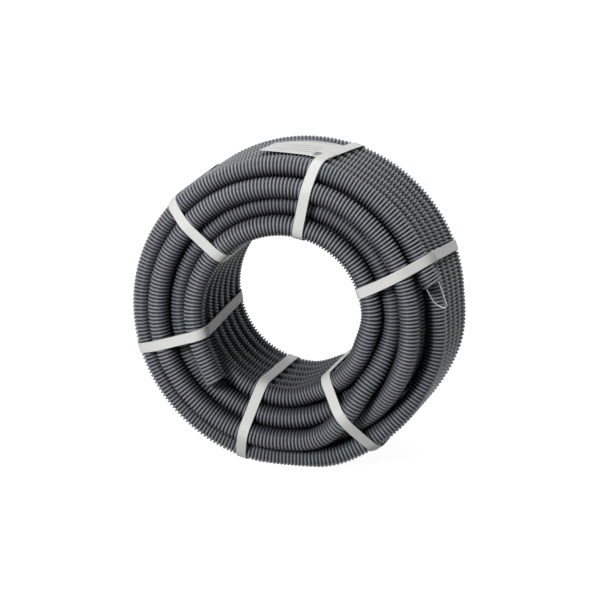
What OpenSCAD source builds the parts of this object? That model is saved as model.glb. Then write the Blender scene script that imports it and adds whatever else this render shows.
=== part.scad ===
// Coil of corrugated hose, standing on its rim.
// One hose is wound in four nested layers and held by flat strapping bands.
// Units are millimetres. +Z is up, the coil's axis lies along Y and its front is -Y.
// The origin is on the floor, at the middle of the coil's footprint.

/* [Hose] */
// Outer diameter over the rib crests
hose_d = 25; // [22:0.5:28]
// Diameter of the hose's smooth bore
bore_d = 18.8; // [16:0.2:19.6]
// Thickness of the corrugated wall
hose_wall = 0.6; // [0.4:0.1:1]
// Distance from one rib to the next
rib_pitch = 4.25; // [3.5:0.25:6]
// Share of the pitch that a rib's crest takes
crest_share = 0.42; // [0.3:0.02:0.6]
// Clear gap between neighbouring turns
turn_gap = 0.8; // [0.8:0.1:1.5]

/* [Coil] */
// Diameter of the open eye inside the coil
eye_d = 185; // [170:1:230]
// Turns side by side in the first and third layers
rows = 7; // [5:1:7]
// Direction of the crossing zone, counted from +X as seen from the front
crossing_at = 318; // [310:1:324]
// How far the layers draw in towards the eye where they cross
crossing_tuck = 4.3; // [2:0.1:6]
// How far the inner end stands forward of its row
inner_lift = 8.8; // [6:0.2:10]
// Ribs on the cut piece at the outer end
outer_ribs = 5; // [4:1:7]
// Ribs on the cut piece at the inner end
inner_ribs = 4; // [3:1:5]
// Depth of the flat that the coil stands on
base_cut = 2.2; // [1.5:0.1:3]

/* [Straps] */
// Width of the strapping band
strap_w = 12; // [9:0.5:16]
// Thickness of the strapping band
strap_t = 0.8; // [0.5:0.1:1.2]
// Gap between a band and what it holds
strap_gap = 0.3; // [0.2:0.05:0.4]
// Length of the heat-sealed lap where a band's ends meet
lap_l = 35; // [20:1:50]
// Thickness of the upper tail in the lap
lap_t = 0.6; // [0.4:0.1:0.9]
// How far the upper tail lies out of line with its band
lap_side = 0.6; // [0:0.1:1.5]
// How far the lap's middle sits forward of the coil's middle
lap_forward = 40; // [20:1:45]

/* [Label] */
// Length of the card label round the rim
label_l = 84; // [80:1:120]
// Width of the card label across the rim, at the end under the top band
label_w = 88; // [60:1:92]
// How much narrower the label is at its free end
label_taper = 20; // [0:1:30]
// Thickness of the card label
label_t = 0.5; // [0.3:0.1:0.8]
// Gap between the label and the rib crests
label_gap = 0.3; // [0.2:0.05:0.4]
// How far the label's front edge sits forward of the coil's middle
label_forward = 52; // [48:1:56]
// Direction of the label's middle, counted from +X
label_at = 89.6; // [88.6:0.2:90.6]

/* [Draw wire] */
// Diameter of the draw wire
wire_d = 1.5; // [1:0.1:2]
// Gap between the wire and the bore
wire_gap = 0.3; // [0.2:0.05:0.5]
// Length of each leg inside the bore
wire_leg = 20.5; // [18.5:0.5:21]
// How far the loop stands out of the hose's mouth
wire_reach = 30; // [27:0.5:34]
// Radius of the wire's sharp tip
tip_r = 3.5; // [3:0.25:4]
// Radius of the wire's wide bend on its inner side
bend_r = 20; // [18:0.5:21]
// Angle that the wide bend turns through
bend_turn = 50; // [45:1:55]
// Radius of the slight bend where the wire leaves the mouth
mouth_r = 15; // [10:1:20]
// Angle that the slight bend turns through
mouth_turn = 8.4; // [7:0.2:10]

/* [Hidden] */

// Each band's direction at its middle, counted from +X as seen from the front, then the
// angle by which it leans from its inner run to its outer run and from front to back
strap_right_at = [20.4, 3.5, -4.6];
strap_top_at = [76.4, 0, -7.4];
strap_upper_left_at = [135, 0.3, -9];
strap_left_at = [194.9, 1.7, -4.8];
strap_bottom_at = [254.8, 1.6, 2.5];
strap_lower_right_at = [304.8, 1.6, 0.6];

// Hose sizes
hose_r = hose_d / 2;
bore_r = bore_d / 2;
inner_piece = inner_ribs * rib_pitch;
outer_piece = outer_ribs * rib_pitch;

// Turn pitches: side by side, nested between two turns, and stacked crest on crest
side_pitch = hose_d + turn_gap;
nest_pitch = side_pitch * sqrt(3) / 2;
layers = 4;
first_r = eye_d / 2 + hose_r;
last_r = first_r + (layers - 1) * nest_pitch;
rim_r = last_r + hose_r;

// Places of the turns in winding order, as [layer, side-by-side place]. The second and
// third layers each leave one hidden middle place empty.
half_full = (rows - 1) / 2;
half_short = (rows - 2) / 2;
empty_place = floor(rows / 2);
places = concat(
    [for (k = [0 : rows - 1]) [0, k - half_full]],
    [for (k = [0 : rows - 2]) if (k != empty_place) [1, half_short - k]],
    [for (k = [0 : rows - 1]) if (k != empty_place) [2, k - half_full]],
    [for (k = [0 : rows - 2]) [3, half_short - k]]
);
turns = len(places);

// Crossing zone, in degrees of winding: the side step, and the bulge over it
step_arc = 38;
bulge_flat = 24;
bulge_end = 48;
// Share of a pitch by which a climbing turn swings out past its row
climb_swing = 0.52;
// When a turn climbs a layer at the front and at the back, as shares of half the step
front_climb = [-0.2, 1];
back_climb = [-0.9, 0.3];
// Winding angles of the two ends of the round winding
start_angle = 111.8;
end_angle = 360 * (turns - 1) + 287.9;
lift_arc = 70;

// The tube's facets
ring_step = 15;
ring_sides = 6;
first_ring = 10.5;
big = 1000;

function smooth(t) = let (c = min(1, max(0, t))) c * c * (3 - 2 * c);
function blend(a, b, t) = a + (b - a) * t;

// Step number and place within that step for winding angle a
function step_of(a) = min(turns - 1, max(1, round(a / 360)));
function zone(a) = (a - 360 * step_of(a)) / step_arc;
function climbs(j) = places[j][0] != places[j - 1][0];
function climb_span(j) = abs(places[j][1]) > abs(places[j - 1][1]) ? front_climb : back_climb;
function rise_share(a, j) =
    climbs(j)
    ? smooth((zone(a) - climb_span(j)[0]) / (climb_span(j)[1] - climb_span(j)[0]))
    : smooth((zone(a) + 1) / 2);
function swing(a, j) =
    climbs(j)
    ? pow(cos(90 * min(1, max(-1, zone(a)))), 2) * sign(places[j - 1][1] + places[j][1])
    : 0;
function bulge(a) = smooth((bulge_end - abs(a - 360 * step_of(a))) / (bulge_end - bulge_flat));

// Radius and place along Y of the hose's centre line at winding angle a. Beyond the two
// ends of the round winding the hose runs straight on, along the tangent.
function round_r(a) =
    let (j = step_of(a), layer = blend(places[j - 1][0], places[j][0], rise_share(a, j)))
    first_r - crossing_tuck * bulge(a) + layer * blend(nest_pitch, side_pitch, bulge(a));
function winding_r(a) =
    a < start_angle ? first_r / cos(start_angle - a)
    : a > end_angle ? last_r / cos(a - end_angle)
    : round_r(a);
function winding_y(a) =
    let (j = step_of(a), from = places[j - 1][1], to = places[j][1])
    side_pitch * (blend(from, to, smooth((zone(a) + 1) / 2)) + climb_swing * swing(a, j))
    - inner_lift * smooth(1 - (a - start_angle) / lift_arc);
function direction(a) = crossing_at - a;

// Straight hose at the two ends: a plain stretch of one diameter, then the ribbed piece
straight_l = hose_d;
inner_straight = straight_l + inner_piece;
outer_straight = straight_l + outer_piece;
first_angle = start_angle - atan(inner_straight / first_r);
last_angle = end_angle + atan(outer_straight / last_r);

// Rings of the coil's tube, as [winding angle, distance along the straight beyond it]
round_rings = [for (i = [0 : 360 / ring_step * turns]) first_ring + ring_step * i];
ring_margin = 3.5;
rings = concat(
    [[start_angle, -straight_l], [start_angle, 0]],
    [for (a = round_rings) if (a > start_angle + ring_margin && a < end_angle - ring_margin) [a, 0]],
    [[end_angle, 0], [end_angle, straight_l]]
);
function ring_points(ring) =
    let (a = ring[0], along = ring[1], t = direction(a))
    [for (k = [0 : ring_sides - 1])
        let (turn = 360 / ring_sides * k, r = winding_r(a) + hose_r * cos(turn))
        [
            r * cos(t) + along * sin(t),
            winding_y(a) - hose_r * sin(turn),
            r * sin(t) - along * cos(t)
        ]];
coil_points = [for (ring = rings) each ring_points(ring)];

// Triangles between so many rings of points and the ring after each, with so many sides
function wall_faces(steps, count, sides) =
    [for (i = [0 : steps - 1], k = [0 : sides - 1], half = [0, 1])
        let (p = i * sides + k, q = i * sides + (k + 1) % sides, all = count * sides)
        half == 0 ? [p, (q + sides) % all, q] : [p, (p + sides) % all, (q + sides) % all]];
// Triangles of a tube with closed ends, and of a tube that runs back into itself
function tube_faces(count, sides) = concat(
    wall_faces(count - 1, count, sides),
    [for (k = [1 : sides - 2]) [0, k, k + 1]],
    [for (k = [1 : sides - 2]) let (last = (count - 1) * sides) [last, last + k + 1, last + k]]
);
function loop_faces(count, sides) = wall_faces(count, count, sides);

// Draw wire, in the plane of the coil: u runs out of the mouth and w away from the coil's
// middle, both from the middle of the mouth. Two legs lie in the bore. The wide bend leads
// the inner leg over to the tip, and the outer leg runs straight back with a slight bend.
leg_w = bore_r - wire_d / 2 - wire_gap;
return_l = (2 * leg_w - bend_r * (1 - cos(bend_turn)) - tip_r * (cos(bend_turn) + cos(mouth_turn))
    - mouth_r * (1 - cos(mouth_turn))) / sin(mouth_turn);
leave_l = return_l * cos(mouth_turn) + mouth_r * sin(mouth_turn)
    - tip_r * (sin(mouth_turn) - sin(bend_turn)) - bend_r * sin(bend_turn);
leg_out = wire_reach - leave_l - bend_r * sin(bend_turn) - tip_r * (1 - sin(bend_turn));
bend_middle = [leg_out + leave_l, bend_r - leg_w];
tip_middle = bend_middle + (bend_r - tip_r) * [sin(bend_turn), -cos(bend_turn)];
mouth_middle = [leg_out, leg_w - mouth_r];
wire_sides = 8;

// Rings of the wire, as [point, direction of its outer side]
function bend_rings(middle, r, from, to, count) =
    [for (i = [0 : count]) let (t = blend(from, to, i / count))
        [middle + r * [cos(t), sin(t)], t]];
wire_rings = concat(
    [[[-wire_leg, -leg_w], -90]],
    bend_rings(bend_middle, bend_r, -90, bend_turn - 90, 6),
    [for (i = [1 : 8]) bend_rings(tip_middle, tip_r, bend_turn - 90, 90 - mouth_turn, 8)[i]],
    bend_rings(mouth_middle, mouth_r, 90 - mouth_turn, 90, 2),
    [[[-wire_leg, leg_w], 90]]
);
wire_points = [for (ring = wire_rings, k = [0 : wire_sides - 1])
    let (turn = 360 / wire_sides * k, side = wire_d / 2 * cos(turn))
    [
        -ring[0][1] - side * sin(ring[1]),
        wire_d / 2 * sin(turn),
        ring[0][0] + side * cos(ring[1])
    ]];
wire_far_x = let (t = direction(end_angle))
    (last_r + tip_middle[1]) * cos(t) + (outer_straight + tip_middle[0]) * sin(t)
    + tip_r + wire_d / 2;

// A band is a closed loop round the section of the coil, as [radius, place along Y]
middle_r = (first_r + last_r) / 2;
function band_direction(at, p) =
    at[0] + at[1] * (p[0] - middle_r) / (last_r - first_r) + at[2] * p[1] / (rows * side_pitch);
function band_point(at, p, across) =
    let (t = band_direction(at, p))
    [p[0] * cos(t) - across * sin(t), p[1], p[0] * sin(t) + across * cos(t)];

// Turns that pass under a band, at its middle and both edges. Each counts also where the
// tube's chords draw in towards the eye.
function wound_angle(t) = (crossing_at - t + 360) % 360;
function under_band(at) =
    let (half = asin(strap_w / 2 / first_r))
    [for (k = [0 : turns], e = [-1, 0, 1])
        let (
            near = wound_angle(at[0]) + 360 * k,
            t = band_direction(at, [winding_r(near), winding_y(near)]),
            a = wound_angle(t) + 360 * k + e * half
        )
        if (a >= first_angle && a <= last_angle) each [
            [winding_r(a), winding_y(a)],
            [winding_r(a) * cos(ring_step / 2), winding_y(a)]
        ]];

// The label's front and back edges count as turns under the top band
label_r = rim_r + label_gap;
card_under_band = [for (y = [-label_forward, label_w - label_forward])
    [label_r + label_t - hose_r, y]];

// The outline stands off what it holds, and meets it once in each of these ways. The ways
// pass close by the square ones, so that a flat run keeps both its ends.
ways_per_quarter = 12;
way_tilt = 0.6;
band_ways = [for (quarter = [0 : 3], i = [0 : ways_per_quarter])
    90 * quarter + blend(way_tilt, 90 - way_tilt, i / ways_per_quarter)];
function farthest(points, way) =
    let (reach = [for (p = points) p * way]) points[search(max(reach), reach)[0]];
function band_line(at, grow, over_card = false) =
    let (held = concat(under_band(at), over_card ? card_under_band : []))
    [for (turn = band_ways) let (way = [cos(turn), sin(turn)])
        farthest(held, way) + (hose_r + strap_gap + grow) * way];

// The object is moved so that it stands on the floor, centred over the origin
coil_x = [for (p = coil_points) p[0]];
mid_x = (min(coil_x) + max(max(coil_x), wire_far_x)) / 2;
front_y = min([for (p = band_line(strap_left_at, strap_t)) p[1]]);
mid_y = (front_y + max([for (p = coil_points) p[1]])) / 2;
bottom_band = [for (p = band_line(strap_bottom_at, strap_t), across = [-1, 1] * strap_w / 2)
    band_point(strap_bottom_at, p, across)];
floor_z = min(min([for (p = coil_points) p[2]]) + base_cut, min([for (p = bottom_band) p[2]]));

// Least gap of the hose to itself, measured between the centre lines of all turns at the
// rings and at quarters of the chords between them
function centre(a) =
    [winding_r(a) * cos(direction(a)), winding_y(a), winding_r(a) * sin(direction(a))];
function turns_at(a0) =
    [for (k = [0 : turns]) let (a = a0 + 360 * k)
        if (a >= first_angle && a + ring_step <= last_angle) a];
function gap_at(a0, f) =
    let (p = [for (a = turns_at(a0)) blend(centre(a), centre(a + ring_step), f)])
    min([for (i = [0 : len(p) - 2], j = [i + 1 : len(p) - 1]) norm(p[i] - p[j])]) - hose_d;
least_gap = min([for (i = [0 : 360 / ring_step - 1], f = [0 : 0.25 : 0.75])
    gap_at(first_ring - 360 + ring_step * i, f)]);
hose_length = [for (i = 0, sum = inner_straight + outer_straight; i <= len(rings) - 3;
    sum = sum + (i > 0 ? norm(centre(rings[i + 1][0]) - centre(rings[i][0])) : 0), i = i + 1) sum];
echo(turns = turns, hose_length = hose_length[len(hose_length) - 1], least_gap = least_gap);

// Placing helpers
module on_floor() {
    translate([-mid_x, -mid_y, -floor_z]) children();
}
module in_coil_plane() {
    rotate([90, 0, 0]) children();
}

// Frame of a hose end: +Z runs out of the mouth and -X points away from the coil's middle
module at_outer_end(beyond) {
    t = direction(end_angle);
    translate(centre(end_angle)) rotate([0, 180 - t, 0]) translate([0, 0, beyond]) children();
}
module at_inner_end(beyond) {
    t = direction(start_angle);
    translate(centre(start_angle)) rotate([0, -t, 0]) translate([0, 0, beyond]) children();
}

// Ribbed hose with its bore, standing on the plane z = 0
module ribbed_hose(ribs) {
    crest_r = crest_share * rib_pitch / 2;
    rotate_extrude($fn = 96) {
        translate([bore_r, 0]) square([hose_wall, ribs * rib_pitch]);
        for (i = [0 : ribs - 1]) translate([0, (i + 0.5) * rib_pitch]) {
            translate([bore_r + hose_wall / 2, -crest_r])
                square([hose_r - crest_r - bore_r - hose_wall / 2, 2 * crest_r]);
            translate([hose_r - crest_r, 0]) circle(crest_r, $fn = 32);
        }
    }
}

module hose_coil() {
    color("#3a3c40") on_floor() difference() {
        polyhedron(points = coil_points, faces = tube_faces(len(rings), ring_sides));
        translate([-big, -big, floor_z - 2 * big]) cube(2 * big);
    }
}

module hose_inner_end() {
    color("#3a3c40") on_floor() at_inner_end(straight_l) ribbed_hose(inner_ribs);
}

module hose_outer_end() {
    color("#3a3c40") on_floor() at_outer_end(straight_l) ribbed_hose(outer_ribs);
}

module draw_wire() {
    color("#8d8f92") on_floor() at_outer_end(outer_straight)
        polyhedron(points = wire_points, faces = tube_faces(len(wire_rings), wire_sides));
}

// Card label bent round the rib crests of the rim
module label() {
    arc = 2 * asin(label_l / label_r);
    side = label_l / 2;
    color("#f2f2ee") on_floor() in_coil_plane() rotate([0, 0, label_at]) intersection() {
        rotate([0, 0, -arc / 2]) rotate_extrude(angle = arc, $fn = 360)
            translate([label_r, -label_w]) square([label_t, 2 * label_w]);
        rotate([90, 0, 90]) linear_extrude(2 * label_r) polygon([
            [-side, label_forward], [-side, label_forward - label_w],
            [side, label_forward - label_w + label_taper], [side, label_forward]
        ]);
    }
}

// Tail of the heat-sealed lap, on the outer run or on the run behind the coil
lap_steps = 6;
function lap_line(outer_line, behind, lift) =
    let (
        rear_run = [for (i = [0 : len(outer_line) / 2 - 1]) outer_line[i]],
        outer_run = [for (p = outer_line) if (p[0] > middle_r) [p[1], p[0]]]
    )
    [for (i = [0 : lap_steps]) let (s = lap_l * (i / lap_steps - 0.5))
        behind
        ? [middle_r - s, lookup(middle_r - s, rear_run) + lift]
        : [lookup(s - lap_forward, outer_run) + lift, s - lap_forward]];

module strap(at, over_card = false, lap_behind = false) {
    inner = band_line(at, 0, over_card);
    outer = band_line(at, strap_t, over_card);
    low = lap_line(outer, lap_behind, -strap_t / 2);
    high = lap_line(outer, lap_behind, lap_t);
    w = strap_w / 2;
    color("#e9eaec") on_floor() {
        polyhedron(
            points = [for (i = [0 : len(inner) - 1]) each [
                band_point(at, inner[i], -w), band_point(at, inner[i], w),
                band_point(at, outer[i], w), band_point(at, outer[i], -w)
            ]],
            faces = loop_faces(len(inner), 4)
        );
        polyhedron(
            points = [for (i = [0 : lap_steps]) each [
                band_point(at, low[i], lap_side - w), band_point(at, low[i], lap_side + w),
                band_point(at, high[i], lap_side + w), band_point(at, high[i], lap_side - w)
            ]],
            faces = tube_faces(lap_steps + 1, 4)
        );
    }
}

module strap_right() { strap(strap_right_at); }
module strap_top() { strap(strap_top_at, over_card = true); }
module strap_upper_left() { strap(strap_upper_left_at); }
module strap_left() { strap(strap_left_at); }
module strap_bottom() { strap(strap_bottom_at, lap_behind = true); }
module strap_lower_right() { strap(strap_lower_right_at); }

hose_coil();
hose_inner_end();
hose_outer_end();
draw_wire();
label();
strap_right();
strap_top();
strap_upper_left();
strap_left();
strap_bottom();
strap_lower_right();
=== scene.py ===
import math

import bpy
import numpy as np
from mathutils import Matrix, Vector


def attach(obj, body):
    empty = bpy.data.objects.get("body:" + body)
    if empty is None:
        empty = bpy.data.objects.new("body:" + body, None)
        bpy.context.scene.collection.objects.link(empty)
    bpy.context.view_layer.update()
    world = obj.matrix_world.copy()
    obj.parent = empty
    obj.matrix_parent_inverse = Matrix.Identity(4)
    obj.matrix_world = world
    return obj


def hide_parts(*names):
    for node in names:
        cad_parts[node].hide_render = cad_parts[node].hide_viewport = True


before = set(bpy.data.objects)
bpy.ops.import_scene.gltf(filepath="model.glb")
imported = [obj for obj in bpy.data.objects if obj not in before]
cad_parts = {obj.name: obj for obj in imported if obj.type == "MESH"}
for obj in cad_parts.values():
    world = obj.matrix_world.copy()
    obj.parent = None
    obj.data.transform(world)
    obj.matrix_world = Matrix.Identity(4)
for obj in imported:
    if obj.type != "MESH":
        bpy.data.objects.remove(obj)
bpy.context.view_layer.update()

MM = 0.001

# ---------------------------------------------------------------- sizes, in mm
# The winding follows the same rule as the part's source, so these are its driving sizes.
# Angles are in degrees: names that end in ANGLE, ARC, TURN or AT, both BULGE names, RING_STEP,
# FIRST_RING and RING_MARGIN. Climbs are in shares of STEP_ARC, CLIMB_SWING in shares of a pitch.
HOSE_D = 25.0
BORE_D = 18.8
HOSE_WALL = 0.6
RIB_PITCH = 4.25
TURN_GAP = 0.8
EYE_D = 185.0
ROWS = 7
CROSSING_AT = 318.0
CROSSING_TUCK = 4.3
INNER_LIFT = 8.8
LIFT_ARC = 70.0
INNER_RIBS = 4
OUTER_RIBS = 5
BASE_CUT = 2.2
STEP_ARC = 38.0
BULGE_FLAT = 24.0
BULGE_END = 48.0
CLIMB_SWING = 0.52
FRONT_CLIMB = (-0.2, 1.0)
BACK_CLIMB = (-0.9, 0.3)
START_ANGLE = 111.8
END_TURN = 287.9
RING_STEP = 15.0
FIRST_RING = 10.5
RING_MARGIN = 3.5
RING_SIDES = 6
STRAIGHT_ARC = 60.0

STRAP_W = 12.0
STRAP_T = 0.8
STRAP_GAP = 0.3
LAP_L = 35.0
LAP_T = 0.6
LAP_FORWARD = 40.0
LAP_SIDE = 0.6
LAP_SUNK = 0.02
# Each band's direction at its middle, its lean from inner to outer run, and its lean from
# front to back, all in degrees
STRAPS = {
    "strap_right": (20.4, 3.5, -4.6),
    "strap_top": (76.4, 0.0, -7.4),
    "strap_upper_left": (135.0, 0.3, -9.0),
    "strap_left": (194.9, 1.7, -4.8),
    "strap_bottom": (254.8, 1.6, 2.5),
    "strap_lower_right": (304.8, 1.6, 0.6),
}

LABEL_L = 84.0
LABEL_W = 88.0
LABEL_TAPER = 20.0
LABEL_T = 0.5
LABEL_GAP = 0.3
LABEL_FORWARD = 52.0
LABEL_AT = 89.6

WIRE_D = 1.5
WIRE_GAP = 0.3
WIRE_LEG = 20.5
WIRE_REACH = 30.0
TIP_R = 3.5
BEND_R = 20.0
BEND_TURN = 50.0
MOUTH_R = 15.0
MOUTH_TURN = 8.4

HOSE_R = HOSE_D / 2
BORE_R = BORE_D / 2
ROOT_R = BORE_R + HOSE_WALL
SIDE_PITCH = HOSE_D + TURN_GAP
NEST_PITCH = SIDE_PITCH * math.sqrt(3) / 2
FIRST_R = EYE_D / 2 + HOSE_R
LAST_R = FIRST_R + 3 * NEST_PITCH
MIDDLE_R = (FIRST_R + LAST_R) / 2
RIM_R = LAST_R + HOSE_R


# ---------------------------------------------------------------- the winding
def winding_places():
    """Places of the turns in winding order, as (layer, side-by-side place)."""
    half_full = (ROWS - 1) / 2
    half_short = (ROWS - 2) / 2
    empty = ROWS // 2
    first = [(0, k - half_full) for k in range(ROWS)]
    second = [(1, half_short - k) for k in range(ROWS - 1) if k != empty]
    third = [(2, k - half_full) for k in range(ROWS) if k != empty]
    fourth = [(3, half_short - k) for k in range(ROWS - 1)]
    return np.array(first + second + third + fourth, float)


PLACES = winding_places()
TURNS = len(PLACES)
END_ANGLE = 360.0 * (TURNS - 1) + END_TURN
INNER_STRAIGHT = HOSE_D + INNER_RIBS * RIB_PITCH
OUTER_STRAIGHT = HOSE_D + OUTER_RIBS * RIB_PITCH


def smooth(t):
    """Eased step from 0 to 1 while t goes from 0 to 1."""
    t = np.clip(t, 0.0, 1.0)
    return t * t * (3 - 2 * t)


def crossing_number(a):
    """Number of the crossing nearest to winding angles a: crossing j joins turns j - 1 and j."""
    return np.clip(np.floor(a / 360 + 0.5), 1, TURNS - 1).astype(int)


def winding(a):
    """Radius and place along Y of the hose's centre line at winding angles a, in degrees."""
    a = np.asarray(a, float)
    j = crossing_number(a)
    off = a - 360 * j
    zone = off / STEP_ARC
    step = smooth((zone + 1) / 2)
    layer0, layer1 = PLACES[j - 1, 0], PLACES[j, 0]
    y0, y1 = PLACES[j - 1, 1], PLACES[j, 1]
    climbs = layer1 != layer0
    forward = np.abs(y1) > np.abs(y0)
    low = np.where(forward, FRONT_CLIMB[0], BACK_CLIMB[0])
    high = np.where(forward, FRONT_CLIMB[1], BACK_CLIMB[1])
    share = np.where(climbs, smooth((zone - low) / (high - low)), step)
    layer = layer0 + (layer1 - layer0) * share
    bulge = smooth((BULGE_END - np.abs(off)) / (BULGE_END - BULGE_FLAT))
    layer_pitch = NEST_PITCH + (SIDE_PITCH - NEST_PITCH) * bulge
    r = FIRST_R - CROSSING_TUCK * bulge + layer * layer_pitch
    swing = np.cos(np.pi / 2 * np.clip(zone, -1, 1)) ** 2 * np.sign(y0 + y1)
    y = SIDE_PITCH * (y0 + (y1 - y0) * step + np.where(climbs, CLIMB_SWING * swing, 0.0))
    y = y - INNER_LIFT * smooth(1 - (a - START_ANGLE) / LIFT_ARC)
    before = np.clip(START_ANGLE - a, 0, STRAIGHT_ARC)
    after = np.clip(a - END_ANGLE, 0, STRAIGHT_ARC)
    r = np.where(a < START_ANGLE, FIRST_R / np.cos(np.radians(before)), r)
    r = np.where(a > END_ANGLE, LAST_R / np.cos(np.radians(after)), r)
    return r, y


def centre_line(a):
    """Points of the hose's centre line at winding angles a."""
    r, y = winding(a)
    t = np.radians(CROSSING_AT - np.asarray(a, float))
    return np.stack([r * np.cos(t), y, r * np.sin(t)], axis=-1)


def source_rings():
    """Points of the part's own coarse rings, which set where the object stands."""
    count = int(360 / RING_STEP * TURNS) + 1
    angles = FIRST_RING + RING_STEP * np.arange(count)
    inside = (angles > START_ANGLE + RING_MARGIN) & (angles < END_ANGLE - RING_MARGIN)
    angles = np.concatenate([[START_ANGLE], angles[inside], [END_ANGLE]])
    along = np.zeros(len(angles))
    angles = np.concatenate([[START_ANGLE], angles, [END_ANGLE]])
    along = np.concatenate([[-HOSE_D], along, [HOSE_D]])
    r, y = winding(angles)
    t = np.radians(CROSSING_AT - angles)
    points = []
    for k in range(RING_SIDES):
        turn = 2 * math.pi * k / RING_SIDES
        rr = r + HOSE_R * math.cos(turn)
        points.append(np.stack([
            rr * np.cos(t) + along * np.sin(t),
            y + HOSE_R * math.sin(turn),
            rr * np.sin(t) - along * np.cos(t)], axis=-1))
    return np.concatenate(points)


def wire_middles():
    """Middles of the wire's three bends and its leg offset, as in the part's source."""
    leg_w = BORE_R - WIRE_D / 2 - WIRE_GAP
    b, m = math.radians(BEND_TURN), math.radians(MOUTH_TURN)
    back = (2 * leg_w - BEND_R * (1 - math.cos(b)) - TIP_R * (math.cos(b) + math.cos(m))
            - MOUTH_R * (1 - math.cos(m))) / math.sin(m)
    leave = (back * math.cos(m) + MOUTH_R * math.sin(m)
             - TIP_R * (math.sin(m) - math.sin(b)) - BEND_R * math.sin(b))
    leg_out = WIRE_REACH - leave - BEND_R * math.sin(b) - TIP_R * (1 - math.sin(b))
    bend = np.array([leg_out + leave, BEND_R - leg_w])
    tip = bend + (BEND_R - TIP_R) * np.array([math.sin(b), -math.cos(b)])
    mouth = np.array([leg_out, leg_w - MOUTH_R])
    return leg_w, bend, tip, mouth


LEG_W, WIRE_BEND, WIRE_TIP, WIRE_MOUTH = wire_middles()


def band_direction(lie, r, y):
    """Direction of a band at a point of the coil's section, in degrees."""
    at, lean, skew = lie
    return at + lean * (r - MIDDLE_R) / (LAST_R - FIRST_R) + skew * y / (ROWS * SIDE_PITCH)


def wound_angle(t):
    """Winding angle within the first turn that passes direction t."""
    return (CROSSING_AT - t + 360) % 360


def under_band(lie):
    """Centres of the turns that pass under a band, at its middle and edges, as (radius, y)."""
    half = math.degrees(math.asin(STRAP_W / 2 / FIRST_R))
    first = START_ANGLE - math.degrees(math.atan(INNER_STRAIGHT / FIRST_R))
    last = END_ANGLE + math.degrees(math.atan(OUTER_STRAIGHT / LAST_R))
    out = []
    for k in range(TURNS + 1):
        near = winding(wound_angle(lie[0]) + 360 * k)
        for edge in (-1, 0, 1):
            a = wound_angle(band_direction(lie, *near)) + 360 * k + edge * half
            if first <= a <= last:
                r, y = winding(a)
                out.append((float(r), float(y)))
    return out


def coil_offset():
    """Where the coil's own middle lies in the part's frame, in mm."""
    p = source_rings()
    lowest = p[:, 2].min() + BASE_CUT
    t = math.radians(CROSSING_AT - END_ANGLE)
    wire_x = ((LAST_R + WIRE_TIP[1]) * math.cos(t)
              + (OUTER_STRAIGHT + WIRE_TIP[0]) * math.sin(t) + TIP_R + WIRE_D / 2)
    mid_x = (p[:, 0].min() + max(p[:, 0].max(), wire_x)) / 2
    front = min(y for _, y in under_band(STRAPS["strap_left"])) - HOSE_R - STRAP_GAP - STRAP_T
    mid_y = (front + p[:, 1].max()) / 2
    return np.array([-mid_x, -mid_y, -lowest])


OFFSET = coil_offset()


def to_frame(points):
    """From mm about the coil's middle to metres in the part's frame."""
    return (np.asarray(points, float) + OFFSET) * MM


# ---------------------------------------------------------------- camera
# Fitted to the coil's outline in the photograph: angles in radians, distance in mm, focal
# length and middle in the picture's pixels.
PICTURE = 600.0
CAMERA_AZIMUTH = 0.2419
CAMERA_RISE = 0.2344
CAMERA_ROLL = 0.0249
CAMERA_FAR = 180.0 * HOSE_D
FOCAL_PX = 3831.1
CENTRE_PX = (299.51, 299.72)
SENSOR_MM = 36.0
CAMERA_CLIP = (0.1, 60.0)


def make_camera():
    back = Vector((
        math.sin(CAMERA_AZIMUTH) * math.cos(CAMERA_RISE),
        -math.cos(CAMERA_AZIMUTH) * math.cos(CAMERA_RISE),
        math.sin(CAMERA_RISE)))
    right = Vector((0, 0, 1)).cross(back).normalized()
    up = back.cross(right)
    c, s = math.cos(CAMERA_ROLL), math.sin(CAMERA_ROLL)
    right, up = c * right + s * up, c * up - s * right
    data = bpy.data.cameras.new("camera")
    data.sensor_fit = "HORIZONTAL"
    data.sensor_width = SENSOR_MM
    data.lens = FOCAL_PX / PICTURE * SENSOR_MM
    data.shift_x = (PICTURE / 2 - CENTRE_PX[0]) / PICTURE
    data.shift_y = (CENTRE_PX[1] - PICTURE / 2) / PICTURE
    data.clip_start, data.clip_end = CAMERA_CLIP
    camera = bpy.data.objects.new("camera", data)
    bpy.context.scene.collection.objects.link(camera)
    turn = Matrix((right, up, back)).transposed().to_4x4()
    place = Vector(to_frame([0, 0, 0])) + back * CAMERA_FAR * MM
    camera.matrix_world = Matrix.Translation(place) @ turn
    bpy.context.scene.camera = camera


make_camera()


# ---------------------------------------------------------------- mesh helpers
def mesh_object(name, points, faces, material, uv=None):
    """A smooth-shaded object from points in metres and lists of the points' numbers."""
    mesh = bpy.data.meshes.new(name)
    faces = [list(map(int, f)) for f in faces]
    mesh.from_pydata(np.asarray(points, np.float32).tolist(), [], faces)
    if uv is not None:
        layer = mesh.uv_layers.new(name="uv")
        index = np.empty(len(mesh.loops), np.int32)
        mesh.loops.foreach_get("vertex_index", index)
        layer.data.foreach_set("uv", np.asarray(uv, np.float32)[index].ravel())
    mesh.polygons.foreach_set("use_smooth", np.full(len(mesh.polygons), True))
    mesh.materials.append(material)
    mesh.validate()
    obj = bpy.data.objects.new(name, mesh)
    bpy.context.scene.collection.objects.link(obj)
    return obj


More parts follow.
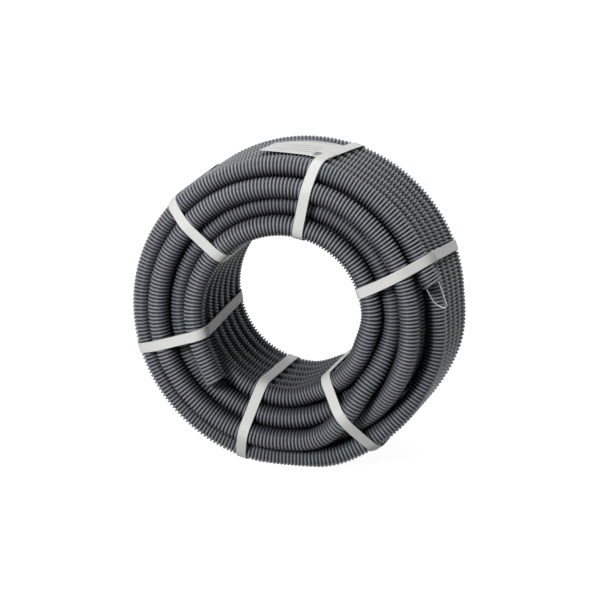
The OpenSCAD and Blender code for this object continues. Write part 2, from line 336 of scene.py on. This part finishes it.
def grid_faces(rings, sides, start=0, closed=True, looped=False):
    """Quads between successive rings of points."""
    i = np.arange(rings if looped else rings - 1)
    k = np.arange(sides if closed else sides - 1)
    i, k = np.meshgrid(i, k, indexing="ij")
    i2 = (i + 1) % rings
    k2 = (k + 1) % sides
    quads = np.stack([i * sides + k, i * sides + k2, i2 * sides + k2, i2 * sides + k], axis=-1)
    return quads.reshape(-1, 4) + start


def end_caps(count, sides, start=0):
    """The first and the last ring of a swept piece as faces, the last one turned over."""
    first = [start + k for k in range(sides)]
    last = [start + count - 1 - k for k in range(sides)]
    return [first, last]


# ---------------------------------------------------------------- materials
# Colour sockets of the Mix node
MIX_LOW = 6
MIX_HIGH = 7
MIX_OUT = 2
NOISE_ROUGHNESS = 0.55


def new_material(name):
    """A material, its node tree and its shader."""
    material = bpy.data.materials.new(name)
    material.use_nodes = True
    tree = material.node_tree
    return material, tree, tree.nodes["Principled BSDF"]


def node(tree, kind, **values):
    """A new node with some of its properties set."""
    made = tree.nodes.new(kind)
    for key, value in values.items():
        setattr(made, key, value)
    return made


def object_place(tree):
    """Places in the object's own space, in metres."""
    return node(tree, "ShaderNodeTexCoord").outputs["Object"]


def stored_values(tree):
    """The two values that are stored on a mesh as its UVs, as X and Y."""
    uv = node(tree, "ShaderNodeUVMap", uv_map="uv").outputs["UV"]
    split = node(tree, "ShaderNodeSeparateXYZ")
    tree.links.new(uv, split.inputs["Vector"])
    return split.outputs["X"], split.outputs["Y"]


def noise(tree, source, scale, detail=3.0):
    """Noise from 0 to 1, with scale in waves to the metre."""
    made = node(tree, "ShaderNodeTexNoise")
    made.inputs["Scale"].default_value = scale
    made.inputs["Detail"].default_value = detail
    made.inputs["Roughness"].default_value = NOISE_ROUGHNESS
    tree.links.new(source, made.inputs["Vector"])
    return made.outputs["Fac"]


def ramp(tree, source, stops):
    """Colours at stops, each as (place, colour)."""
    made = node(tree, "ShaderNodeValToRGB")
    for i, (at, colour) in enumerate(stops):
        stop = made.color_ramp.elements[i] if i < 2 else made.color_ramp.elements.new(at)
        stop.position = at
        stop.color = (*colour, 1.0)
    tree.links.new(source, made.inputs["Fac"])
    return made.outputs["Color"]


def spread(tree, source, low, high):
    """A value from 0 to 1 spread over the range from low to high."""
    made = node(tree, "ShaderNodeMapRange")
    made.inputs["To Min"].default_value = low
    made.inputs["To Max"].default_value = high
    tree.links.new(source, made.inputs["Value"])
    return made.outputs["Result"]


def product(tree, first, second):
    """A value times another value or a plain number."""
    made = node(tree, "ShaderNodeMath", operation="MULTIPLY")
    tree.links.new(first, made.inputs[0])
    if isinstance(second, float):
        made.inputs[1].default_value = second
    else:
        tree.links.new(second, made.inputs[1])
    return made.outputs["Value"]


def bump(tree, source, strength, distance, into):
    """Bumps of a depth in metres in a shader's surface."""
    made = node(tree, "ShaderNodeBump")
    made.inputs["Strength"].default_value = strength
    made.inputs["Distance"].default_value = distance
    tree.links.new(source, made.inputs["Height"])
    tree.links.new(made.outputs["Normal"], into.inputs["Normal"])


# Hose colours with painted light: the groove colour holds painted shade, the crest colours hold
# scuffs with a painted highlight
GROOVE_SHADE_COLOUR = (0.029, 0.034, 0.042)
CREST_HIGHLIGHT_COLOUR = (0.252, 0.269, 0.290)
SCUFFED_HIGHLIGHT_COLOUR = (0.312, 0.331, 0.353)
DUSTY_GROOVE_SHADE = tuple(1.2 * c for c in GROOVE_SHADE_COLOUR)
# Share of the crest's colour, with its painted highlight, at a rib's root: below zero, so that it
# starts over a third up
CREST_AT_ROOT = -0.6


def hose_material():
    """Dark bluish-grey plastic: crests paler with scuffs and a painted highlight, grooves and
    sheltered sides darkened with painted shade, rougher in patches.
    """
    material, tree, shader = new_material("hose_plastic")
    place = object_place(tree)
    height, unshaded = stored_values(tree)
    wide = noise(tree, place, scale=14.0)
    scuffs = noise(tree, place, scale=160.0, detail=4.0)
    fine = noise(tree, place, scale=900.0, detail=2.0)
    crest = ramp(tree, scuffs, [(0.35, CREST_HIGHLIGHT_COLOUR), (0.75, SCUFFED_HIGHLIGHT_COLOUR)])
    groove = ramp(tree, wide, [(0.3, GROOVE_SHADE_COLOUR), (0.7, DUSTY_GROOVE_SHADE)])
    # Painted light: the crest's colour and its painted highlight rise with a rib's height, cut back
    # by painted shade where tubes face each other and inside the eye
    painted_light_share = product(tree, spread(tree, height, CREST_AT_ROOT, 1.0), unshaded)
    mix = node(tree, "ShaderNodeMix", data_type="RGBA")
    tree.links.new(painted_light_share, mix.inputs["Factor"])
    tree.links.new(groove, mix.inputs[MIX_LOW])
    tree.links.new(crest, mix.inputs[MIX_HIGH])
    tree.links.new(mix.outputs[MIX_OUT], shader.inputs["Base Color"])
    tree.links.new(spread(tree, wide, low=0.32, high=0.40), shader.inputs["Roughness"])
    shader.inputs["Specular IOR Level"].default_value = 0.2
    bump(tree, fine, strength=0.15, distance=0.0002, into=shader)
    return material


# Modelled ridges across a band, and the finer cords of its material, two to each ridge
BAND_RIDGES = 9
BAND_CORDS = 2 * BAND_RIDGES
CORD_COLOUR = (0.74, 0.74, 0.725)
BETWEEN_CORDS = (0.62, 0.62, 0.605)


def strap_material():
    """White strapping: fine lengthwise cords with slightly darker lines between them."""
    material, tree, shader = new_material("strap_band")
    across, _ = stored_values(tree)
    waves = product(tree, across, 2 * math.pi * BAND_CORDS)
    cords = node(tree, "ShaderNodeMath", operation="COSINE")
    tree.links.new(waves, cords.inputs[0])
    scaled = node(tree, "ShaderNodeMapRange")
    scaled.inputs["From Min"].default_value = -1.0
    tree.links.new(cords.outputs["Value"], scaled.inputs["Value"])
    patch = noise(tree, object_place(tree), scale=60.0)
    colour = ramp(tree, scaled.outputs["Result"], [(0.0, BETWEEN_CORDS), (0.6, CORD_COLOUR)])
    tree.links.new(colour, shader.inputs["Base Color"])
    tree.links.new(spread(tree, patch, low=0.32, high=0.5), shader.inputs["Roughness"])
    shader.inputs["Specular IOR Level"].default_value = 0.2
    bump(tree, scaled.outputs["Result"], strength=0.5, distance=0.0001, into=shader)
    return material


def grained_material(name, scale, dark, light, detail=3.0):
    """A material with a fine grain between two colours, and the grain itself."""
    material, tree, shader = new_material(name)
    grain = noise(tree, object_place(tree), scale, detail)
    tree.links.new(ramp(tree, grain, [(0.2, dark), (0.8, light)]), shader.inputs["Base Color"])
    return material, tree, shader, grain


def card_material():
    """Matt white card with a faint grain of fibres."""
    material, tree, shader, fibre = grained_material(
        "label_card", 420.0, (0.64, 0.64, 0.625), (0.71, 0.71, 0.695), detail=4.0)
    shader.inputs["Roughness"].default_value = 0.62
    shader.inputs["Specular IOR Level"].default_value = 0.3
    bump(tree, fibre, strength=0.15, distance=0.0001, into=shader)
    return material


def ink_material():
    """Matt grey printing."""
    material, _, shader, _ = grained_material(
        "label_ink", 700.0, (0.22, 0.22, 0.23), (0.30, 0.30, 0.31))
    shader.inputs["Roughness"].default_value = 0.7
    return material


def wire_material():
    """Thin drawn steel wire, dulled in patches."""
    material, tree, shader, grain = grained_material(
        "draw_wire_steel", 300.0, (0.30, 0.31, 0.33), (0.40, 0.41, 0.43))
    shader.inputs["Metallic"].default_value = 0.8
    tree.links.new(spread(tree, grain, low=0.3, high=0.45), shader.inputs["Roughness"])
    return material


HOSE = hose_material()
STRAP = strap_material()
CARD = card_material()
INK = ink_material()
WIRE = wire_material()


# ---------------------------------------------------------------- the hose
# Points round the hose in its long middle and near its ends, and the ribs that those ends and
# the modelled bores take in
SIDES = 14
END_SIDES = 36
END_RIBS = 12
BORE_RIBS = 16
# Degrees of winding to each side over which the hose's direction is taken
TANGENT_STEP = 0.25
CORD_POINTS = 2400
# A rib from root to root, as (place along the rib in pitches, share of the rib's height), and
# the plain zigzag that stands for it where no side of the hose shows
RIB_FULL = ((-0.34, 0.0), (-0.21, 0.86), (0.0, 1.0), (0.21, 0.86), (0.34, 0.0))
RIB_HIDDEN = ((-0.25, 0.0), (0.25, 1.0))
CREST_DEPTH = HOSE_R - ROOT_R
LIP_RISE = 0.3
# Height stored on the rings of the bore
BORE_HEIGHT = 0.15
# Turns with a place nearer to the middle than this, in layers two and three, show no side
HIDDEN_WITHIN = 1.9
# Both ends are cut a little aslant, in degrees, and their last ribs fan out to that slant
INNER_SLANT = -5.0
INNER_RUN = 45.0
OUTER_SLANT = 7.0
OUTER_RUN = 3 * RIB_PITCH


def hose_path():
    """Winding angles from the inner mouth to the outer one, and the arc lengths there."""
    inner = math.degrees(math.atan(INNER_STRAIGHT / FIRST_R))
    outer = math.degrees(math.atan(OUTER_STRAIGHT / LAST_R))
    a = np.linspace(START_ANGLE - inner, END_ANGLE + outer, TURNS * 360)
    p = centre_line(a)
    s = np.concatenate([[0], np.cumsum(np.linalg.norm(np.diff(p, axis=0), axis=1))])
    return a, s


PATH_A, PATH_S = hose_path()
HOSE_LENGTH = float(PATH_S[-1])


def at_length(s):
    """Centre, tangent and the two cross directions of the hose at arc lengths s."""
    a = np.interp(s, PATH_S, PATH_A)
    p = centre_line(a)
    t = centre_line(a + TANGENT_STEP) - centre_line(a - TANGENT_STEP)
    t /= np.linalg.norm(t, axis=1)[:, None]
    ang = np.radians(CROSSING_AT - a)
    out = np.stack([np.cos(ang), np.zeros_like(ang), np.sin(ang)], axis=-1)
    out -= (out * t).sum(axis=1)[:, None] * t
    out /= np.linalg.norm(out, axis=1)[:, None]
    return p, t, out, np.cross(t, out)


def is_hidden(a):
    """True inside the stack, where no side shows: middle places of layers two and three."""
    layer, place = PLACES[:, 0], PLACES[:, 1]
    deep = (layer > 0) & (layer < 3) & (np.abs(place) < HIDDEN_WITHIN)
    j = crossing_number(a)
    return deep[j] & deep[j - 1]


def hose_rings():
    """Arc length and radius of every ring of the hose's outside, and the hose's own pitch."""
    ribs = int(round(HOSE_LENGTH / RIB_PITCH))
    pitch = HOSE_LENGTH / ribs
    middle = (np.arange(ribs) + 0.5) * pitch
    hidden = is_hidden(np.interp(middle, PATH_S, PATH_A))
    s, r = [], []
    for m, h in zip(middle, hidden):
        for at, share in RIB_HIDDEN if h else RIB_FULL:
            s.append(m + at * pitch)
            r.append(ROOT_R + share * CREST_DEPTH)
    # each end is cut through the flank of its last rib
    s = np.array([0.0] + s + [HOSE_LENGTH])
    r = np.array([ROOT_R + LIP_RISE] + r + [ROOT_R + LIP_RISE])
    return s, r, pitch


def slant(s, cos_turn):
    """How far along the hose a point of a ring leans near the slanting cuts, in mm."""
    near_inner = smooth(1 - s / INNER_RUN) * math.tan(math.radians(INNER_SLANT))
    near_outer = smooth(1 - (HOSE_LENGTH - s) / OUTER_RUN) * math.tan(math.radians(OUTER_SLANT))
    return (near_inner[:, None] - near_outer[:, None]) * HOSE_R * cos_turn


def ring_points(s, r, sides):
    """Points of rings at arc lengths s with radii r, as rings by sides by three."""
    p, ahead, out, side = at_length(s)
    turn = 2 * np.pi * (np.arange(sides) + 0.5) / sides
    c, n = np.cos(turn)[None, :, None], np.sin(turn)[None, :, None]
    r = np.asarray(r)[:, None, None]
    lean = slant(s, np.cos(turn)[None, :])[:, :, None]
    return p[:, None] + r * (c * out[:, None] + n * side[:, None]) + lean * ahead[:, None]


# How deep the painted shade is on a tube's sides that face its neighbours and the eye's inside: in
# full where a neighbour's middle is as near as TOUCHING, and not at all where it is as far as APART
TOUCHING = 1.15 * HOSE_D
APART = 1.7 * HOSE_D
NEIGHBOUR_SHADE = 0.62
EYE_SHADE = 0.85
TINY = 1e-6


def unshaded_share(s, points):
    """Share of painted light on each point of the rings: full where nothing shades it, less with
    painted shade where it faces a neighbouring tube or the eye's inside.
    """
    a = np.interp(s, PATH_S, PATH_A)
    r, y = winding(a)
    out = np.hypot(points[..., 0], points[..., 2]) - r[:, None]
    across = points[..., 1] - y[:, None]
    size = np.hypot(out, across)
    out, across = out / size, across / size
    # painted shade on the sides that face into the eye
    unshaded = 1 - EYE_SHADE * np.clip(-out, 0, 1)
    for k in range(1 - TURNS, TURNS):
        other = a + 360 * k
        there = (other > PATH_A[0]) & (other < PATH_A[-1]) & (k != 0)
        other_r, other_y = winding(other)
        far = np.hypot(other_r - r, other_y - y)
        near = np.clip((APART - far) / (APART - TOUCHING), 0, 1) * there
        far = np.maximum(far, TINY)
        facing = out * ((other_r - r) / far)[:, None] + across * ((other_y - y) / far)[:, None]
        # painted shade on the sides that face a neighbouring tube
        unshaded *= 1 - NEIGHBOUR_SHADE * near[:, None] * np.clip(facing, 0, 1) ** 2
    return unshaded


def hose_stretches(s, r, pitch):
    """The hose in three stretches of rings: two round ends and the long middle between."""
    end = END_RIBS * pitch
    inner = s <= end
    outer = s >= HOSE_LENGTH - end
    middle = ~inner & ~outer
    inner_seam = np.flatnonzero(inner)[-1]
    outer_seam = np.flatnonzero(outer)[0]
    middle[[inner_seam, outer_seam]] = True
    return ((s[inner], r[inner], END_SIDES), (s[middle], r[middle], SIDES),
            (s[outer], r[outer], END_SIDES))


def zip_rings(first, first_sides, second, second_sides):
    """Triangles that close the seam between two rings of different counts of points."""
    i = j = 0
    faces = []
    while i < first_sides or j < second_sides:
        step_first = (i + 1) / first_sides <= (j + 1) / second_sides
        a, b = first + i % first_sides, second + j % second_sides
        if step_first and i < first_sides:
            faces.append([a, first + (i + 1) % first_sides, b])
            i += 1
        else:
            faces.append([a, second + (j + 1) % second_sides, b])
            j += 1
    return faces


def hose_outside(s, r, pitch):
    """Points, UVs and quads of the outside, and where each stretch's first and last ring start."""
    parts, uvs, faces, rings, start = [], [], [], [], 0
    for stretch_s, stretch_r, sides in hose_stretches(s, r, pitch):
        points = ring_points(stretch_s, stretch_r, sides)
        height = np.repeat((stretch_r - ROOT_R) / CREST_DEPTH, sides)
        parts.append(points.reshape(-1, 3))
        uvs.append(np.stack([height, unshaded_share(stretch_s, points).ravel()], axis=-1))
        faces += grid_faces(len(stretch_s), sides, start).tolist()
        rings.append((start, start + (len(stretch_s) - 1) * sides))
        start += len(stretch_s) * sides
    return np.concatenate(parts), np.concatenate(uvs), faces, rings


def hose_bore(s, r, lip, start, inner):
    """The corrugated inside of one mouth, a wall's thickness within the outside.

    s and r run inwards from the mouth. The outside's ring at the mouth starts at point lip, and
    the bore's own points start at point start. Returns the points, their UVs, the faces with
    the lip's, the cap at the deep end and the points of the cut edge.
    """
    points = ring_points(s, r - HOSE_WALL, END_SIDES).reshape(-1, 3)
    # the bore is stored as fully shaded, so it takes the grooves' colour with its painted shade
    uv = np.tile([BORE_HEIGHT, 0.0], (len(points), 1))
    rim = np.arange(END_SIDES)
    after = (rim + 1) % END_SIDES
    wall = grid_faces(len(s), END_SIDES, start)
    edge = np.stack([rim + lip, rim + start, after + start, after + lip], axis=-1)
    _, cap = end_caps(len(points), END_SIDES, start)
    if inner:
        wall = wall[:, ::-1]
    else:
        edge = edge[:, ::-1]
        cap = cap[::-1]
    return points, uv, wall.tolist() + edge.tolist(), cap, [rim + lip, rim + start]


def hose_mesh():
    """Points, faces and UVs of the whole hose, as one closed mesh."""
    s, r, pitch = hose_rings()
    deep = BORE_RIBS * pitch
    near, far = s <= deep, s >= HOSE_LENGTH - deep
    points, uv, faces, rings = hose_outside(s, r, pitch)
    caps, cut_edges = [], []
    for bore_s, bore_r, lip, inner in ((s[near], r[near], rings[0][0], True),
                                       (s[far][::-1], r[far][::-1], rings[2][1], False)):
        wall, wall_uv, wall_faces, cap, cut = hose_bore(bore_s, bore_r, lip, len(points), inner)
        points, uv = np.vstack([points, wall]), np.vstack([uv, wall_uv])
        faces += wall_faces
        caps.append(cap)
        cut_edges += cut
    faces += caps
    faces += zip_rings(rings[0][1], END_SIDES, rings[1][0], SIDES)
    faces += zip_rings(rings[1][1], SIDES, rings[2][0], END_SIDES)
    # the freshly cut edges are as pale as a crest, whose colour is partly wear and partly painted
    # highlight
    uv[np.concatenate(cut_edges)] = 1.0
    return points, faces, uv


def on_the_floor(points):
    """Points in the part's frame, with none of them below the floor."""
    points = to_frame(points)
    points[:, 2] = np.maximum(points[:, 2], 0.0)
    return points


def make_hose():
    points, faces, uv = hose_mesh()
    hose = mesh_object("corrugated_hose", on_the_floor(points), faces, HOSE, uv)
    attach(hose, "coil")
    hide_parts("hose_coil", "hose_inner_end", "hose_outer_end")
    path = to_frame(at_length(np.linspace(0, HOSE_LENGTH, CORD_POINTS))[0])


make_hose()


# ---------------------------------------------------------------- the bands
# Points round each turn that a band's outline is stretched over, and the step along a band
OUTLINE_SIDES = 96
BAND_STEP = 2.2
# Steps each way over which a stiff band rounds off its bends, and how proud it stands for it
BAND_STIFF = 4
BAND_PROUD = 0.6
RIDGE_DEPTH = 0.10
POINTS_PER_RIDGE = 4


def convex_outline(points):
    """Corner points of the convex outline round the points, anticlockwise."""
    pts = sorted(set((round(x, 6), round(y, 6)) for x, y in points))

    def half(seq):
        out = []
        for p in seq:
            while len(out) > 1 and ((out[-1][0] - out[-2][0]) * (p[1] - out[-2][1])
                                    - (out[-1][1] - out[-2][1]) * (p[0] - out[-2][0])) <= 0:
                out.pop()
            out.append(p)
        return out[:-1]
    return np.array(half(pts) + half(pts[::-1]))


def band_normal(line):
    """Outward directions at the points of a closed outline."""
    ahead = np.roll(line, -1, axis=0) - np.roll(line, 1, axis=0)
    ahead /= np.linalg.norm(ahead, axis=1)[:, None]
    return np.stack([ahead[:, 1], -ahead[:, 0]], axis=-1)


def tight_outline(lie, over_label):
    """Evenly spaced (radius, y) points round the turns under a band, and the lengths to them."""
    turn = np.linspace(0, 2 * np.pi, OUTLINE_SIDES, endpoint=False)
    clear = HOSE_R + STRAP_GAP
    points = []
    for r, y in under_band(lie):
        points += list(zip(r + clear * np.cos(turn), y + clear * np.sin(turn)))
    if over_label:
        top = RIM_R + LABEL_GAP + LABEL_T + STRAP_GAP
        points += [(top, -LABEL_FORWARD - STRAP_GAP), (top, LABEL_W - LABEL_FORWARD + STRAP_GAP)]
    corner = convex_outline(points)
    corner = np.vstack([corner, corner[:1]])
    s = np.concatenate([[0], np.cumsum(np.linalg.norm(np.diff(corner, axis=0), axis=1))])
    at_s = np.linspace(0, s[-1], int(s[-1] / BAND_STEP), endpoint=False)
    line = np.stack([np.interp(at_s, s, corner[:, 0]), np.interp(at_s, s, corner[:, 1])], axis=-1)
    return line, at_s


def band_outline(lie, over_label):
    """Points of a band's inner face, the outward directions there and the lengths to them."""
    line, at_s = tight_outline(lie, over_label)
    near = range(-BAND_STIFF, BAND_STIFF + 1)
    line = sum(np.roll(line, k, axis=0) for k in near) / len(near)
    line = line + BAND_PROUD * band_normal(line)
    return line, band_normal(line), at_s


def band_section(width, thick):
    """Section of the band: ridged outer face and flat inner face, as (across, height)."""
    across = np.linspace(-width / 2, width / 2, BAND_RIDGES * POINTS_PER_RIDGE + 1)
    ridge = -RIDGE_DEPTH * (1 + np.cos(2 * np.pi * BAND_RIDGES * (across / width + 0.5))) / 2
    top = np.stack([across, thick + ridge], axis=-1)
    bottom = np.array([[width / 2, 0.0], [-width / 2, 0.0]])
    return np.vstack([top, bottom])


def sweep_band(lie, line, normal, length, section, shift, closed):
    """Points, quads and UVs of a section swept along an outline of (radius, y) points."""
    t = np.radians(band_direction(lie, line[:, 0], line[:, 1]))[:, None]
    r = line[:, :1] + section[None, :, 1] * normal[:, :1]
    y = line[:, 1:] + section[None, :, 1] * normal[:, 1:]
    across = section[None, :, 0] + shift
    pts = np.stack([r * np.cos(t) - across * np.sin(t), y,
                    r * np.sin(t) + across * np.cos(t)], axis=-1)
    sides = len(section)
    quads = grid_faces(len(line), sides, looped=closed)[:, ::-1]
    uv_u = section[:, 0] / STRAP_W + 0.5
    uv = np.stack([np.broadcast_to(uv_u, (len(line), sides)),
                   np.broadcast_to(length[:, None] / STRAP_W, (len(line), sides))], axis=-1)
    return pts.reshape(-1, 3), quads, uv.reshape(-1, 2)


def lap_places(line, behind):
    """Which points of the outline lie under the lap's upper tail."""
    if behind:
        under = (np.abs(line[:, 0] - MIDDLE_R) < LAP_L / 2) & (line[:, 1] > 0)
    else:
        under = (np.abs(line[:, 1] + LAP_FORWARD) < LAP_L / 2) & (line[:, 0] > MIDDLE_R)
    return np.flatnonzero(under)


def make_band(name, lie):
    line, normal, s = band_outline(lie, name == "strap_top")
    section = band_section(STRAP_W, STRAP_T)
    points, quads, uv = sweep_band(lie, line, normal, s, section, 0.0, True)
    # the upper tail of the heat-sealed lap
    index = lap_places(line, name == "strap_bottom")
    tail = band_section(STRAP_W, LAP_T)
    raised = line[index] + normal[index] * (STRAP_T - LAP_SUNK)
    tail_points, tail_quads, tail_uv = sweep_band(
        lie, raised, normal[index], s[index], tail, LAP_SIDE, False)
    faces = quads.tolist() + (tail_quads + len(points)).tolist()
    faces += end_caps(len(tail_points), len(tail), len(points))
    points = on_the_floor(np.vstack([points, tail_points]))
    band = mesh_object(name + "_band", points, faces, STRAP, np.vstack([uv, tail_uv]))
    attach(band, "coil")
    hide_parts(name)


for strap_name, strap_lie in STRAPS.items():
    make_band(strap_name, strap_lie)


# ---------------------------------------------------------------- the label
LABEL_R = RIM_R + LABEL_GAP
# The free end curls up from a place along the card, and less so towards the card's back edge
LABEL_CURL = 5.5
LABEL_CURL_FROM = -6.0
BACK_CURL_LOSS = 0.9
CARD_SHORT = 2.5
# Points along and across the card and each patch of printing
CARD_GRID = (64, 40)
PRINT_GRID = (16, 3)


def card_width(s):
    """Width of the card at a place s along it, from -LABEL_L / 2 under the band."""
    return LABEL_W - LABEL_TAPER * (s / LABEL_L + 0.5)


def card_point(s, v, h):
    """Point of the card in the frame: s along it, v in shares of its width, h above it."""
    free = np.clip((s - LABEL_CURL_FROM) / (LABEL_L / 2 - LABEL_CURL_FROM), 0, 1)
    curl = LABEL_CURL * free ** 2 * (1 - BACK_CURL_LOSS * v)
    t = np.radians(LABEL_AT) + np.arcsin(s / LABEL_R)
    r = LABEL_R + curl + h
    y = -LABEL_FORWARD + v * card_width(s)
    return to_frame(np.stack([r * np.cos(t), y, r * np.sin(t)], axis=-1))


def card_slab(s_range, v_range, low, high, grid, start=0):
    """Points and faces of a closed piece of card between two heights."""
    nu, nv = grid
    s, v = np.meshgrid(np.linspace(*s_range, nu), np.linspace(*v_range, nv), indexing="ij")
    points = np.vstack([card_point(s.ravel(), v.ravel(), h) for h in (high, low)])
    top = grid_faces(nu, nv, start, closed=False)
    below = top[:, ::-1] + nu * nv
    number = start + np.arange(nu * nv).reshape(nu, nv)
    edge = np.concatenate([number[:, 0], number[-1, 1:], number[-2::-1, -1], number[0, -2:0:-1]])
    after = np.roll(edge, -1)
    side = np.stack([after, after + nu * nv, edge + nu * nv, edge], axis=-1)
    return points, top.tolist() + below.tolist() + side.tolist()


def make_label():
    along = (-LABEL_L / 2, LABEL_L / 2 - CARD_SHORT)
    points, faces = card_slab(along, (0, 1), 0.0, LABEL_T, CARD_GRID)
    card = mesh_object("card_label", points, faces, CARD)
    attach(card, "coil")
    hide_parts("label")


# Plain printing on the card, as (from, to) along it and (from, to) in shares of its width:
# five ruled lines and one grey panel by the band
PRINT = (
    ((-22.0, 20.0), (0.20, 0.22)),
    ((-22.0, 26.0), (0.34, 0.36)),
    ((-22.0, 14.0), (0.48, 0.50)),
    ((-22.0, 26.0), (0.62, 0.64)),
    ((-30.0, 32.0), (0.90, 0.915)),
    ((-32.0, -21.0), (0.06, 0.29)),
)
PRINT_TOP = LABEL_T + 0.08
PRINT_BASE = LABEL_T - 0.2


def make_print():
    """Thin inked patches that follow the card's curve."""
    points, faces = np.empty((0, 3)), []
    for s_range, v_range in PRINT:
        patch, patch_faces = card_slab(
            s_range, v_range, PRINT_BASE, PRINT_TOP, PRINT_GRID, len(points))
        points = np.vstack([points, patch])
        faces += patch_faces
    printed = mesh_object("label_printing", points, faces, INK)
    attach(printed, "coil")


make_label()
make_print()


# ---------------------------------------------------------------- the draw wire
WIRE_SIDES = 12
# Points round the wire's long bend, its tip and its short bend back into the mouth
BEND_POINTS = 14
TIP_POINTS = 20
MOUTH_POINTS = 6


def wire_line():
    """Centre line of the wire in the mouth's plane, as (out of the mouth, away from the middle)."""
    def bend(middle, r, a0, a1, n):
        t = np.radians(np.linspace(a0, a1, n))
        return [middle + r * np.array([math.cos(x), math.sin(x)]) for x in t]
    line = [np.array([-WIRE_LEG, -LEG_W]), np.array([-WIRE_LEG / 2, -LEG_W])]
    line += bend(WIRE_BEND, BEND_R, -90, BEND_TURN - 90, BEND_POINTS)
    line += bend(WIRE_TIP, TIP_R, BEND_TURN - 90, 90 - MOUTH_TURN, TIP_POINTS)[1:]
    line += bend(WIRE_MOUTH, MOUTH_R, 90 - MOUTH_TURN, 90, MOUTH_POINTS)
    line += [np.array([-WIRE_LEG / 2, LEG_W]), np.array([-WIRE_LEG, LEG_W])]
    return np.array(line)


def make_wire():
    t = math.radians(CROSSING_AT - END_ANGLE)
    ahead = np.array([math.sin(t), 0, -math.cos(t)])
    away = np.array([math.cos(t), 0, math.sin(t)])
    mouth = centre_line(END_ANGLE) + ahead * OUTER_STRAIGHT
    line = wire_line()
    p = mouth + line[:, :1] * ahead + line[:, 1:] * away
    tangent = np.gradient(p, axis=0)
    tangent /= np.linalg.norm(tangent, axis=1)[:, None]
    up = np.broadcast_to(np.array([0, 1.0, 0]), p.shape)
    side = np.cross(tangent, up)
    turn = 2 * np.pi * np.arange(WIRE_SIDES) / WIRE_SIDES
    c, n = np.cos(turn)[None, :, None], np.sin(turn)[None, :, None]
    pts = p[:, None] + WIRE_D / 2 * (c * side[:, None] + n * up[:, None])
    faces = grid_faces(len(p), WIRE_SIDES)[:, ::-1].tolist()
    faces += end_caps(len(p) * WIRE_SIDES, WIRE_SIDES)
    wire = mesh_object("draw_wire_loop", to_frame(pts.reshape(-1, 3)), faces, WIRE)
    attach(wire, "wire")
    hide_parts("draw_wire")


make_wire()


# ---------------------------------------------------------------- floor, light and view
def seen_ray(tree):
    """1 on the rays that show the background: camera, glossy and transmission rays."""
    path = node(tree, "ShaderNodeLightPath")
    first = node(tree, "ShaderNodeMath", operation="MAXIMUM")
    second = node(tree, "ShaderNodeMath", operation="MAXIMUM")
    tree.links.new(path.outputs["Is Camera Ray"], first.inputs[0])
    tree.links.new(path.outputs["Is Glossy Ray"], first.inputs[1])
    tree.links.new(first.outputs["Value"], second.inputs[0])
    tree.links.new(path.outputs["Is Transmission Ray"], second.inputs[1])
    return second.outputs["Value"]


FLOOR_HALF = 12.0
FLOOR_COLOUR = (0.3, 0.3, 0.3, 1)
FLOOR_ROUGHNESS = 0.9
FLOOR_GLOW = 0.95
WHITE = (1, 1, 1, 1)
WORLD_LIGHT = 0.05
LIGHT_AIM = (0, 0, 0.2)
# Square lights, as (place, size, power), in metres and watts
LIGHTS = {
    "key": ((-1.0, -2.75, 1.55), 0.8, 92),
    "top": ((0.5, 0.3, 2.4), 0.7, 27),
}


def make_floor():
    """Pale floor that reads as white in the picture and still takes the coil's shadow."""
    material, tree, shader = new_material("studio_floor")
    shader.inputs["Base Color"].default_value = FLOOR_COLOUR
    shader.inputs["Roughness"].default_value = FLOOR_ROUGHNESS
    glow = node(tree, "ShaderNodeEmission")
    tree.links.new(product(tree, seen_ray(tree), FLOOR_GLOW), glow.inputs["Strength"])
    both = node(tree, "ShaderNodeAddShader")
    tree.links.new(shader.outputs["BSDF"], both.inputs[0])
    tree.links.new(glow.outputs["Emission"], both.inputs[1])
    tree.links.new(both.outputs["Shader"], tree.nodes["Material Output"].inputs["Surface"])
    mesh = bpy.data.meshes.new("studio_floor")
    corners = [(x * FLOOR_HALF, y * FLOOR_HALF, 0) for x, y in ((-1, -1), (1, -1), (1, 1), (-1, 1))]
    mesh.from_pydata(corners, [], [(0, 1, 2, 3)])
    mesh.materials.append(material)
    floor = bpy.data.objects.new("studio_floor", mesh)
    bpy.context.scene.collection.objects.link(floor)


def area_light(name, place, size, power):
    """A square light that is aimed at the coil."""
    data = bpy.data.lights.new(name, "AREA")
    data.shape = "SQUARE"
    data.size = size
    data.energy = power
    light = bpy.data.objects.new(name, data)
    light.location = place
    light.rotation_euler = (Vector(LIGHT_AIM) - Vector(place)).to_track_quat("-Z", "Y").to_euler()
    bpy.context.scene.collection.objects.link(light)


def make_world():
    """White where it is seen, and a little soft light from all around."""
    world = bpy.data.worlds.new("studio_world")
    world.use_nodes = True
    tree = world.node_tree
    back = tree.nodes["Background"]
    back.inputs["Color"].default_value = WHITE
    back.inputs["Strength"].default_value = WORLD_LIGHT
    seen = node(tree, "ShaderNodeBackground")
    seen.inputs["Color"].default_value = WHITE
    seen.inputs["Strength"].default_value = 1.0
    mix = node(tree, "ShaderNodeMixShader")
    tree.links.new(seen_ray(tree), mix.inputs["Fac"])
    tree.links.new(back.outputs["Background"], mix.inputs[1])
    tree.links.new(seen.outputs["Background"], mix.inputs[2])
    tree.links.new(mix.outputs["Shader"], tree.nodes["World Output"].inputs["Surface"])
    bpy.context.scene.world = world


make_floor()
make_world()
for light_name, light in LIGHTS.items():
    area_light(light_name, *light)

bpy.context.scene.view_settings.view_transform = "Standard"
